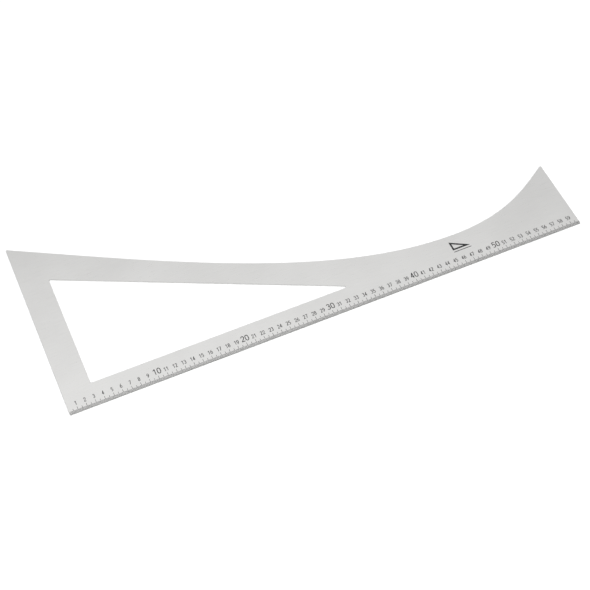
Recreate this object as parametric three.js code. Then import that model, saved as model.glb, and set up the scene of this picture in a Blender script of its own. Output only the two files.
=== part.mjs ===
// Tailor's and drafting set square: one flat aluminium plate.
//
// The plate has a straight scale edge, a short leg square to it, a straight edge that leaves the
// short leg's tip at an angle and then sweeps in a long hollow curve, and an upright heel at the
// far end. A triangular window lightens its wide end. The scale is a print with no thickness of
// its own, so it is not part of this model.
//
// Millimetres. +X runs along the scale edge, +Y up the short leg, +Z out of the printed face.
// The outlines below are drawn from the right-angle corner. The part's own origin is under the
// middle of the rectangle that the plate fills, on its underside.

import * as THREE from "three";

const LENGTH = 600; // the scale edge, from the right-angle corner to the heel
const SHORT_LEG = 235.5; // square to the scale edge, up to the tip's corner before rounding
const THICKNESS = 1.5;

const TIP_ANGLE = 60; // degrees, between the short leg and the edge that leaves its tip
const STRAIGHT_RUN = 74; // how far that edge is straight

const WAIST_X = 464.5; // the narrowest place of the long arm, where its edge is level
const WAIST_HEIGHT = 44.6;
const HEEL_HEIGHT = 92.4;
const HEEL_SLOPE = 33.7; // degrees above level, where the curve meets the heel

// Each sweep is a Bezier curve. Its handles are these shares of the sweep's own length along X.
const LONG_SWEEP = { tipHandle: 0.45, waistHandle: 0.3 };
const SHORT_SWEEP = { waistHandle: 0.5, heelHandle: 0.3 };

const LEG_STRIP = 32; // width of the short leg's arm, beside the window
const SCALE_STRIP = 28.3; // width of the scale's arm, below the window
const WINDOW_LENGTH = 299;
const WINDOW_HEIGHT = 147.5;

const OUTER_CORNER_RADIUS = 1;
const WINDOW_CORNER_RADIUS = 1.5;
const EDGE_BREAK = 0.15; // the chamfer that takes the burr off every cut edge

const CURVE_STEPS = 36; // straight segments in each sweep
const CORNER_STEPS = 10; // straight segments in each rounded corner
const SMOOTH_TURN = 10; // degrees; an outline that turns less than this at a point is left alone

const ALUMINIUM = { color: 0xd8d8d6, roughness: 0.45, metalness: 0.9 };

const direction = (degrees) => {
  const angle = THREE.MathUtils.degToRad(degrees);
  return new THREE.Vector2(Math.cos(angle), Math.sin(angle));
};

const along = (from, way, distance) => from.clone().addScaledVector(way, distance);

// The plate's outer edge, counterclockwise from the right-angle corner.
function outerOutline() {
  const level = direction(0);
  const tip = new THREE.Vector2(0, SHORT_LEG);
  const tipWay = direction(TIP_ANGLE - 90);
  const bend = along(tip, tipWay, STRAIGHT_RUN);
  const waist = new THREE.Vector2(WAIST_X, WAIST_HEIGHT);
  const heel = new THREE.Vector2(LENGTH, HEEL_HEIGHT);
  const heelWay = direction(HEEL_SLOPE);
  const longRun = waist.x - bend.x;
  const shortRun = heel.x - waist.x;

  const shortSweep = new THREE.CubicBezierCurve(
    heel,
    along(heel, heelWay, -SHORT_SWEEP.heelHandle * shortRun),
    along(waist, level, SHORT_SWEEP.waistHandle * shortRun),
    waist,
  );
  const longSweep = new THREE.CubicBezierCurve(
    waist,
    along(waist, level, -LONG_SWEEP.waistHandle * longRun),
    along(bend, tipWay, LONG_SWEEP.tipHandle * longRun),
    bend,
  );
  return [
    new THREE.Vector2(0, 0),
    new THREE.Vector2(LENGTH, 0),
    ...shortSweep.getPoints(CURVE_STEPS),
    ...longSweep.getPoints(CURVE_STEPS).slice(1),
    tip,
  ];
}

// The triangular window, with its right angle at the same corner as the plate's.
function windowOutline() {
  return [
    new THREE.Vector2(LEG_STRIP, SCALE_STRIP),
    new THREE.Vector2(LEG_STRIP + WINDOW_LENGTH, SCALE_STRIP),
    new THREE.Vector2(LEG_STRIP, SCALE_STRIP + WINDOW_HEIGHT),
  ];
}

// The same counterclockwise outline, with an arc of the given radius in place of each sharp corner.
function roundCorners(outline, radius) {
  return outline.flatMap((corner, i) => {
    const toPrevious = outline.at(i - 1).clone().sub(corner).normalize();
    const toNext = outline[(i + 1) % outline.length].clone().sub(corner).normalize();
    const inside = Math.acos(toPrevious.dot(toNext));
    if (Math.PI - inside < THREE.MathUtils.degToRad(SMOOTH_TURN)) return [corner];

    const inward = toPrevious.clone().add(toNext).normalize();
    const centre = along(corner, inward, radius / Math.sin(inside / 2));
    const first = along(corner, toPrevious, radius / Math.tan(inside / 2)).sub(centre).angle();
    const arc = new THREE.Path();
    arc.absarc(centre.x, centre.y, radius, first, first + Math.PI - inside, false);
    return arc.getPoints(CORNER_STEPS);
  });
}

// The sheet between the two faces, with a small chamfer along every cut edge, moved from the
// outlines' right-angle corner to the part's own origin.
function plateGeometry() {
  const sheet = new THREE.Shape(roundCorners(outerOutline(), OUTER_CORNER_RADIUS));
  sheet.holes.push(new THREE.Path(roundCorners(windowOutline(), WINDOW_CORNER_RADIUS)));
  const geometry = new THREE.ExtrudeGeometry(sheet, {
    depth: THICKNESS - 2 * EDGE_BREAK,
    bevelEnabled: true,
    bevelThickness: EDGE_BREAK,
    bevelSize: EDGE_BREAK,
    bevelOffset: -EDGE_BREAK,
    bevelSegments: 1,
  });
  geometry.computeBoundingBox();
  const { min, max } = geometry.boundingBox;
  return geometry.translate(-(min.x + max.x) / 2, -(min.y + max.y) / 2, -min.z);
}

function makePlate() {
  const plate = new THREE.Mesh(plateGeometry(), new THREE.MeshStandardMaterial(ALUMINIUM));
  plate.name = "plate";
  return plate;
}

const setSquare = new THREE.Group();
setSquare.name = "set_square";
setSquare.add(makePlate());

export default setSquare;
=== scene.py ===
"""The finished look of the set square: a satin aluminium plate with a printed scale.

Everything is in metres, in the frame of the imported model: +X along the scale edge, +Y up the
short leg, +Z out of the printed face, and the plate lies on z = 0. The plate's outline comes from
the CAD plate. What is printed on it is placed from the plate's right-angle corner.
"""

import math

import bmesh
import bpy
from mathutils import Matrix, Vector
from mathutils.geometry import delaunay_2d_cdt


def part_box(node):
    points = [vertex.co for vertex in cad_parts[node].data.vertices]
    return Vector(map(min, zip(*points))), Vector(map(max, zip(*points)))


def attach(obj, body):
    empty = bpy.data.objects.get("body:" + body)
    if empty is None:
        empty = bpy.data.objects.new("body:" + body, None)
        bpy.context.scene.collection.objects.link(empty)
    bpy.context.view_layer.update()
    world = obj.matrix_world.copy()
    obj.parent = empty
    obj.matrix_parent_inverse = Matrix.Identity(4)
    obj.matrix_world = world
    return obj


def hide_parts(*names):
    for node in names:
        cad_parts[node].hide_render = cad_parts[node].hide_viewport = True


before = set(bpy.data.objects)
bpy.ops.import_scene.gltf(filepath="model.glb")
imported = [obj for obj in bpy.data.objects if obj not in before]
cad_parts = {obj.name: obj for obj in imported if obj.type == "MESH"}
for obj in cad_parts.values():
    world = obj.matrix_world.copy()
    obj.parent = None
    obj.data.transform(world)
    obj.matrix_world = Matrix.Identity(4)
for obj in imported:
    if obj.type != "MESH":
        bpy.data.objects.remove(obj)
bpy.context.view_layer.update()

MM = 0.001
LOW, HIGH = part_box("plate")
CORNER = Vector((LOW.x, LOW.y))  # the right angle, where the scale starts
LENGTH = HIGH.x - LOW.x

FILM = 0.01 * MM  # the ink's thickness; it fills the space just under the CAD plate's faces
FACE_Z = HIGH.z - FILM  # the bare metal's top face
EDGE_ROUND = 0.06 * MM  # how far the deburred edges' corners are rounded off
MERGE = 0.001 * MM  # points this close are one point

FLAT_TURN = math.radians(0.2)  # faces that turn less than this are one flat face
SHARP_TURN = math.radians(30)  # edges that turn more than this get rounded off
STRAIGHT_TURN = math.radians(1)  # outlines that turn less than this are one straight line
LEVEL = 0.99  # a face whose normal is at least this upright is a top or bottom face

# The scale. Every tick starts low on the front edge, runs up it, over the chamfer and across the
# face. Widths, lengths and heights in millimetres.
CHAMFER = 0.15  # the CAD plate's
TICK_FOOT = 0.16  # above the underside
TICKS = {
    "millimetre_ticks": {"width": 0.42, "end": 3.6},
    "five_millimetre_ticks": {"width": 0.42, "end": 5.9},
    "centimetre_ticks": {"width": 0.42, "end": 7.1},
}

# Numbers: each digit's height and width, its stroke and the gap after it, in millimetres.
SMALL_NUMBER = {"height": 5.1, "width": 2.4, "stroke": 0.62, "gap": 0.35}
LARGE_NUMBER = {"height": 7.5, "width": 4.1, "stroke": 0.9, "gap": 0.6}
NUMBER_BASE = 9.2  # above the scale edge
NUMBER_SHIFT = 0.4  # two-digit numbers stand this far past their ticks
ARC_STEP = math.radians(12)  # round strokes are drawn in straight steps of about this turn

# The maker's field holds a plain set square pictogram over a line. The centre is the pictogram's.
# Millimetres from the right-angle corner.
FIELD_CENTRE = (464.5, 30.8)
FIELD_LENGTH = 21.0
FIELD_HEIGHT = 12.0
FIELD_BAND = 2.0
FIELD_LINE = {"drop": 3.0, "width": 0.8}

# Nearly all values of a noise pattern lie between these.
NOISE_LOW = 0.3
NOISE_HIGH = 0.7

# The camera looks at aim from the given direction. Angles are in degrees, and azimuth 0 is
# straight in front of the scale edge. The lens is in millimetres, on a sensor 36 mm wide.
CAMERA = {
    "aim": (-0.0283, -0.0738, 0.0),
    "azimuth": -19.98,
    "elevation": 54.6,
    "distance": 1.5669,
    "roll": -3.87,
    "lens": 87.87,
}

# The surround's strength, and shares of it by the sine of the height above the horizon: as pale
# as the floor where they meet, darker above, bright high up, and softer straight overhead.
SKY_STRENGTH = 1.31
SKY_SHARES = {0.0: 0.57, 0.15: 0.37, 0.68: 0.37, 0.89: 1.0, 0.92: 1.0, 0.99: 0.68}

# The softbox that lights the floor and the print from the front. It makes no glare.
KEY = {"place": (0, -2.2, 2.4), "aim": (0, 0, 0), "size": (2.5, 1.5), "power": 76}

FLOOR_SIZE = 40.0
FLOOR_GAP = 0.02 * MM  # keeps the floor just clear of the underside


# Materials


def new_material(name):
    material = bpy.data.materials.new(name)
    material.use_nodes = True
    tree = material.node_tree
    return material, tree, tree.nodes["Principled BSDF"]


def noise(tree, scale, detail, stretch=(1, 1, 1)):
    """A noise pattern over the piece's coordinates in metres, multiplied by stretch."""
    place = tree.nodes.new("ShaderNodeTexCoord")
    mapping = tree.nodes.new("ShaderNodeMapping")
    mapping.inputs["Scale"].default_value = stretch
    texture = tree.nodes.new("ShaderNodeTexNoise")
    texture.inputs["Scale"].default_value = scale
    texture.inputs["Detail"].default_value = detail
    tree.links.new(place.outputs["Object"], mapping.inputs["Vector"])
    tree.links.new(mapping.outputs["Vector"], texture.inputs["Vector"])
    return texture.outputs["Fac"]


def ramp(tree, factor, low, high):
    """factor's run from NOISE_LOW to NOISE_HIGH, spread over the span from low to high."""
    node = tree.nodes.new("ShaderNodeMapRange")
    node.inputs["From Min"].default_value = NOISE_LOW
    node.inputs["From Max"].default_value = NOISE_HIGH
    node.inputs["To Min"].default_value = low
    node.inputs["To Max"].default_value = high
    tree.links.new(factor, node.inputs["Value"])
    return node.outputs["Result"]


def between(tree, factor, first, second):
    """A colour that goes from first to second as factor rises."""
    node = tree.nodes.new("ShaderNodeMix")
    node.data_type = "RGBA"
    ends = [socket for socket in node.inputs if socket.type == "RGBA"]
    for socket, colour in zip(ends, (first, second)):
        socket.default_value = (*colour, 1)
    tree.links.new(ramp(tree, factor, 0, 1), node.inputs[0])
    return next(socket for socket in node.outputs if socket.type == "RGBA")


def bump(tree, shader, height, distance):
    node = tree.nodes.new("ShaderNodeBump")
    node.inputs["Strength"].default_value = 1.0
    node.inputs["Distance"].default_value = distance
    tree.links.new(height, node.inputs["Height"])
    tree.links.new(node.outputs["Normal"], shader.inputs["Normal"])


def satin_aluminium():
    """The faces: a fine grain drawn along the scale edge, with faint clouds in its tone."""
    material, tree, shader = new_material("satin_aluminium")
    clouds = noise(tree, 14, 3)
    grain = noise(tree, 60, 6, (1, 90, 1))
    tone = tree.nodes.new("ShaderNodeMath")
    tone.operation = "ADD"
    tree.links.new(ramp(tree, clouds, 0, 0.4), tone.inputs[0])
    tree.links.new(ramp(tree, grain, 0, 0.6), tone.inputs[1])
    shader.inputs["Metallic"].default_value = 1.0
    tree.links.new(
        between(tree, tone.outputs["Value"], (0.725, 0.722, 0.712), (0.775, 0.772, 0.762)),
        shader.inputs["Base Color"],
    )
    tree.links.new(ramp(tree, grain, 0.27, 0.37), shader.inputs["Roughness"])
    bump(tree, shader, grain, 0.008 * MM)
    return material


def cut_edge():
    """The sawn and deburred edges: rougher than the faces, with fine marks across the sheet."""
    material, tree, shader = new_material("cut_edge")
    marks = noise(tree, 900, 3, (1, 1, 0.05))
    shader.inputs["Metallic"].default_value = 1.0
    tree.links.new(
        between(tree, marks, (0.57, 0.57, 0.56), (0.67, 0.67, 0.66)),
        shader.inputs["Base Color"],
    )
    tree.links.new(ramp(tree, marks, 0.34, 0.5), shader.inputs["Roughness"])
    bump(tree, shader, marks, 0.01 * MM)
    return material


def scale_ink():
    """Dark grey ink, slightly uneven as a screen print is."""
    material, tree, shader = new_material("scale_ink")
    speckle = noise(tree, 5000, 2)
    tree.links.new(
        between(tree, speckle, (0.012, 0.012, 0.013), (0.03, 0.03, 0.031)),
        shader.inputs["Base Color"],
    )
    tree.links.new(ramp(tree, speckle, 0.5, 0.7), shader.inputs["Roughness"])
    shader.inputs["Specular IOR Level"].default_value = 0.3
    bump(tree, shader, speckle, 0.002 * MM)
    return material


def floor_paper():
    """Plain white paper with faint fibres."""
    material, tree, shader = new_material("floor_paper")
    fibres = noise(tree, 300, 5)
    tree.links.new(
        between(tree, fibres, (0.93, 0.93, 0.93), (0.96, 0.96, 0.96)),
        shader.inputs["Base Color"],
    )
    shader.inputs["Roughness"].default_value = 0.9
    shader.inputs["Specular IOR Level"].default_value = 0.1
    return material


# The plate


def add_piece(name, mesh):
    piece = bpy.data.objects.new(name, mesh)
    bpy.context.scene.collection.objects.link(piece)
    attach(piece, "root")
    return piece


def make_plate(face_material, edge_material):
    """The CAD plate's shape with its edges rounded, and one ink film off its top and front."""
    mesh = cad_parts["plate"].data.copy()
    mesh.materials.clear()
    mesh.materials.append(face_material)
    mesh.materials.append(edge_material)
    form = bmesh.new()
    form.from_mesh(mesh)
    bmesh.ops.remove_doubles(form, verts=form.verts, dist=MERGE)
    for vertex in form.verts:
        if vertex.co.z > HIGH.z - FILM:
            vertex.co.z = FACE_Z
        if vertex.co.y < LOW.y + FILM:
            vertex.co.y = LOW.y + FILM
    bmesh.ops.dissolve_limit(form, angle_limit=FLAT_TURN, verts=form.verts, edges=form.edges)
    bmesh.ops.bevel(
        form,
        geom=[edge for edge in form.edges if edge.calc_face_angle(0) > SHARP_TURN],
        offset=EDGE_ROUND,
        segments=2,
        profile=0.5,
        affect="EDGES",
        clamp_overlap=True,
    )
    for face in form.faces:
        face.normal_update()
        face.smooth = True
        face.material_index = 0 if abs(face.normal.z) > LEVEL else 1
    form.to_mesh(mesh)
    form.free()
    plate = add_piece("plate_sheet", mesh)
    flat_faces = plate.modifiers.new("flat_faces", "WEIGHTED_NORMAL")
    flat_faces.mode = "FACE_AREA"
    flat_faces.weight = 100
    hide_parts("plate")


# The print


def add_print(name, form, ink):
    bmesh.ops.recalc_face_normals(form, faces=form.faces)
    mesh = bpy.data.meshes.new(name)
    form.to_mesh(mesh)
    form.free()
    mesh.materials.append(ink)
    add_piece(name, mesh)


def printed(name, outlines, ink):
    """A piece of ink film that covers the given flat outlines, in millimetres from CORNER."""
    corners, faces = [], []
    for outline in outlines:
        faces.append(range(len(corners), len(corners) + len(outline)))
        corners += [CORNER + Vector(point) * MM for point in outline]
    points, _, tiles, _, _, sources = delaunay_2d_cdt(corners, [], faces, 0, MERGE)
    form = bmesh.new()
    top = [form.verts.new((point.x, point.y, HIGH.z)) for point in points]
    for tile, covered_by in zip(tiles, sources):
        if covered_by:
            form.faces.new([top[i] for i in tile])
    loose = [corner for corner in top if not corner.link_faces]
    bmesh.ops.delete(form, geom=loose, context="VERTS")
    bmesh.ops.dissolve_limit(
        form, angle_limit=STRAIGHT_TURN, verts=form.verts, edges=form.edges
    )
    bottom = bmesh.ops.extrude_face_region(form, geom=form.faces[:])["geom"]
    for vertex in bottom:
        if isinstance(vertex, bmesh.types.BMVert):
            vertex.co.z = FACE_Z
    add_print(name, form, ink)


def tick_kind(millimetre):
    if millimetre % 10 == 0:
        return "centimetre_ticks"
    return "five_millimetre_ticks" if millimetre % 5 == 0 else "millimetre_ticks"


def tick_section(end):
    """A tick's outline seen along the scale edge: the CAD plate's edge and face, one film deep."""
    front, top = LOW.y, HIGH.z
    foot, chamfer, reach = LOW.z + TICK_FOOT * MM, CHAMFER * MM, end * MM
    bend = math.tan(math.radians(22.5)) * FILM  # what one film inward adds beside the chamfer
    outer = [(front + reach, top), (front + chamfer, top), (front, top - chamfer), (front, foot)]
    inner = [
        (front + FILM, foot),
        (front + FILM, top - chamfer - bend),
        (front + chamfer + bend, top - FILM),
        (front + reach, top - FILM),
    ]
    return outer + inner


def add_tick(form, x, half, section):
    """A prism of ink from x - half to x + half, with the given closed section."""
    left = [form.verts.new((x - half, y, z)) for y, z in section]
    right = [form.verts.new((x + half, y, z)) for y, z in section]
    for i in range(len(section)):
        j = (i + 1) % len(section)
        form.faces.new([left[i], left[j], right[j], right[i]])
    form.faces.new(left[::-1])
    form.faces.new(right)


def make_ticks(ink):
    """One tick at each millimetre between the two ends, which are marks themselves."""
    forms = {kind: bmesh.new() for kind in TICKS}
    for millimetre in range(1, round(LENGTH / MM)):
        kind = tick_kind(millimetre)
        half = TICKS[kind]["width"] / 2 * MM
        add_tick(forms[kind], LOW.x + millimetre * MM, half, tick_section(TICKS[kind]["end"]))
    for kind, form in forms.items():
        add_print(kind, form, ink)


def arc(centre, radii, start, end):
    """Points on an ellipse's arc. Angles are in degrees, and it may turn either way."""
    start, end = math.radians(start), math.radians(end)
    steps = max(2, round(abs(end - start) / ARC_STEP))
    angles = (start + (end - start) * i / steps for i in range(steps + 1))
    return [
        (centre[0] + radii[0] * math.cos(angle), centre[1] + radii[1] * math.sin(angle))
        for angle in angles
    ]


# The middle lines of each digit's strokes, in a box that is 1 wide and 1 high. Each stroke is
# smooth, and two that meet at a corner share its point.
SIX = [
    arc((0.5, 0.3), (0.5, 0.3), 0, 360),
    arc((0.9, 0.3), (0.9, 0.7), 180, 98),
]
FIVE_BOWL = arc((0.46, 0.31), (0.5, 0.31), 140, -130)
DIGITS = {
    "0": [
        arc((0.5, 0.68), (0.5, 0.32), 0, 180)
        + arc((0.5, 0.32), (0.5, 0.32), 180, 360)
        + [(1, 0.68)]
    ],
    "1": [[(0.12, 0.8), (0.62, 1)], [(0.62, 1), (0.62, 0)]],
    "2": [arc((0.5, 0.72), (0.46, 0.28), 165, -35) + [(0, 0)], [(0, 0), (1, 0)]],
    "3": [
        arc((0.46, 0.76), (0.44, 0.24), 145, -90),
        arc((0.46, 0.27), (0.5, 0.27), 90, -140),
    ],
    "4": [[(0.72, 0), (0.72, 1)], [(0.72, 1), (0, 0.27)], [(0, 0.27), (1, 0.27)]],
    "5": [[(0.9, 1), (0.14, 1)], [(0.14, 1), FIVE_BOWL[0]], FIVE_BOWL],
    "6": SIX,
    "7": [[(0, 1), (1, 1)], [(1, 1), (0.36, 0)]],
    "8": [
        arc((0.5, 0.76), (0.43, 0.24), 0, 360),
        arc((0.5, 0.27), (0.5, 0.27), 0, 360),
    ],
    "9": [[(1 - x, 1 - y) for x, y in stroke] for stroke in SIX],
}


def is_loop(line):
    """Whether a line in millimetres ends where it starts."""
    return (Vector(line[0]) - Vector(line[-1])).length < MERGE / MM


def side_points(line, half):
    """Each point of a smooth stroke's middle line moved half a stroke to its left and right."""
    points = [Vector(point) for point in line]
    ways = [(b - a).normalized() for a, b in zip(points, points[1:])]
    if is_loop(line):
        before, after = [ways[-1], *ways], [*ways, ways[0]]
    else:
        before, after = [ways[0], *ways], [*ways, ways[-1]]
    sides = []
    for point, way_in, way_out in zip(points, before, after):
        across = (way_in.orthogonal() + way_out.orthogonal()).normalized()
        reach = across * half / across.dot(way_in.orthogonal())
        sides.append((point + reach, point - reach))
    return sides


def digit_outlines(digit, place, style):
    """A digit as flat outlines: each short stretch of its strokes, and their round ends."""
    half = style["stroke"] / 2
    wide, high = style["width"] - 2 * half, style["height"] - 2 * half
    outlines = []
    for line in DIGITS[digit]:
        placed = [(place[0] + half + x * wide, place[1] + half + y * high) for x, y in line]
        sides = side_points(placed, half)
        for (left, right), (next_left, next_right) in zip(sides, sides[1:]):
            outlines.append([right, next_right, next_left, left])
        if not is_loop(placed):
            outlines += [arc(end, (half, half), 0, 360)[:-1] for end in (placed[0], placed[-1])]
    return outlines


def make_numbers(ink):
    """A number above each centimetre tick, larger at each tenth one."""
    for centimetre in range(1, round(LENGTH / MM / 10)):
        style = SMALL_NUMBER if centimetre % 10 else LARGE_NUMBER
        digits = str(centimetre)
        pitch = style["width"] + style["gap"]
        start = centimetre * 10 - (pitch * len(digits) - style["gap"]) / 2
        start += NUMBER_SHIFT * (len(digits) - 1)
        outlines = []
        for i, digit in enumerate(digits):
            outlines += digit_outlines(digit, (start + i * pitch, NUMBER_BASE), style)
        printed(f"number_{centimetre:02d}", outlines, ink)


def make_field(ink):
    """A plain set square, drawn as a band along its three sides, over a line."""
    x, y = FIELD_CENTRE[0] - FIELD_LENGTH / 2, FIELD_CENTRE[1] - FIELD_HEIGHT / 2
    inradius = (FIELD_LENGTH + FIELD_HEIGHT - math.hypot(FIELD_LENGTH, FIELD_HEIGHT)) / 2
    share = 1 - FIELD_BAND / inradius
    outer = [(x, y), (x + FIELD_LENGTH, y), (x, y + FIELD_HEIGHT)]
    inner = [
        (x + FIELD_BAND + (px - x) * share, y + FIELD_BAND + (py - y) * share)
        for px, py in outer
    ]
    sides = [(outer[i - 1], outer[i], inner[i], inner[i - 1]) for i in range(3)]
    printed("field_pictogram", sides, ink)
    low, high = y - FIELD_LINE["drop"], y - FIELD_LINE["drop"] + FIELD_LINE["width"]
    right = x + FIELD_LENGTH
    printed("field_line", [[(x, low), (right, low), (right, high), (x, high)]], ink)


# The studio


def add_floor():
    mesh = bpy.data.meshes.new("floor")
    form = bmesh.new()
    bmesh.ops.create_grid(form, x_segments=1, y_segments=1, size=FLOOR_SIZE / 2)
    form.to_mesh(mesh)
    form.free()
    mesh.materials.append(floor_paper())
    floor = bpy.data.objects.new("floor", mesh)
    bpy.context.scene.collection.objects.link(floor)
    floor.location.z = LOW.z - FLOOR_GAP


def add_softbox(name, place, aim, size, power):
    """A rectangular light that reflections don't show."""
    light = bpy.data.lights.new(name, "AREA")
    light.shape = "RECTANGLE"
    light.size, light.size_y = size
    light.energy = power
    lamp = bpy.data.objects.new(name, light)
    bpy.context.scene.collection.objects.link(lamp)
    lamp.location = place
    lamp.rotation_euler = (Vector(aim) - lamp.location).to_track_quat("-Z", "Y").to_euler()
    lamp.visible_glossy = False


def add_sky():
    """A soft white surround that changes only with the height above the horizon."""
    world = bpy.data.worlds.new("studio")
    world.use_nodes = True
    tree = world.node_tree
    background = tree.nodes["Background"]
    background.inputs["Strength"].default_value = SKY_STRENGTH
    direction = tree.nodes.new("ShaderNodeTexCoord")
    height = tree.nodes.new("ShaderNodeSeparateXYZ")
    share = tree.nodes.new("ShaderNodeValToRGB")
    share.color_ramp.interpolation = "EASE"
    stops = share.color_ramp.elements
    stops.remove(stops[1])
    for i, (position, level) in enumerate(SKY_SHARES.items()):
        stop = stops.new(position) if i else stops[0]
        stop.color = (level, level, level, 1)
    tree.links.new(direction.outputs["Generated"], height.inputs["Vector"])
    tree.links.new(height.outputs["Z"], share.inputs["Fac"])
    tree.links.new(share.outputs["Color"], background.inputs["Color"])
    bpy.context.scene.world = world


def add_light():
    add_sky()
    add_softbox("softbox_key", **KEY)
    bpy.context.scene.view_settings.view_transform = "Standard"


def add_camera():
    azimuth, elevation = (math.radians(CAMERA[angle]) for angle in ("azimuth", "elevation"))
    outward = Vector(
        (
            math.cos(elevation) * math.sin(azimuth),
            -math.cos(elevation) * math.cos(azimuth),
            math.sin(elevation),
        )
    )
    camera = bpy.data.objects.new("camera", bpy.data.cameras.new("camera"))
    camera.data.lens = CAMERA["lens"]
    camera.data.sensor_width = 36
    camera.data.clip_end = 50
    look = (-outward).to_track_quat("-Z", "Y").to_matrix().to_4x4()
    roll = Matrix.Rotation(math.radians(CAMERA["roll"]), 4, "Z")
    place = Matrix.Translation(Vector(CAMERA["aim"]) + outward * CAMERA["distance"])
    camera.matrix_world = place @ look @ roll
    bpy.context.scene.collection.objects.link(camera)
    bpy.context.scene.camera = camera


ink = scale_ink()
make_plate(satin_aluminium(), cut_edge())
make_ticks(ink)
make_numbers(ink)
make_field(ink)
add_floor()
add_light()
add_camera()
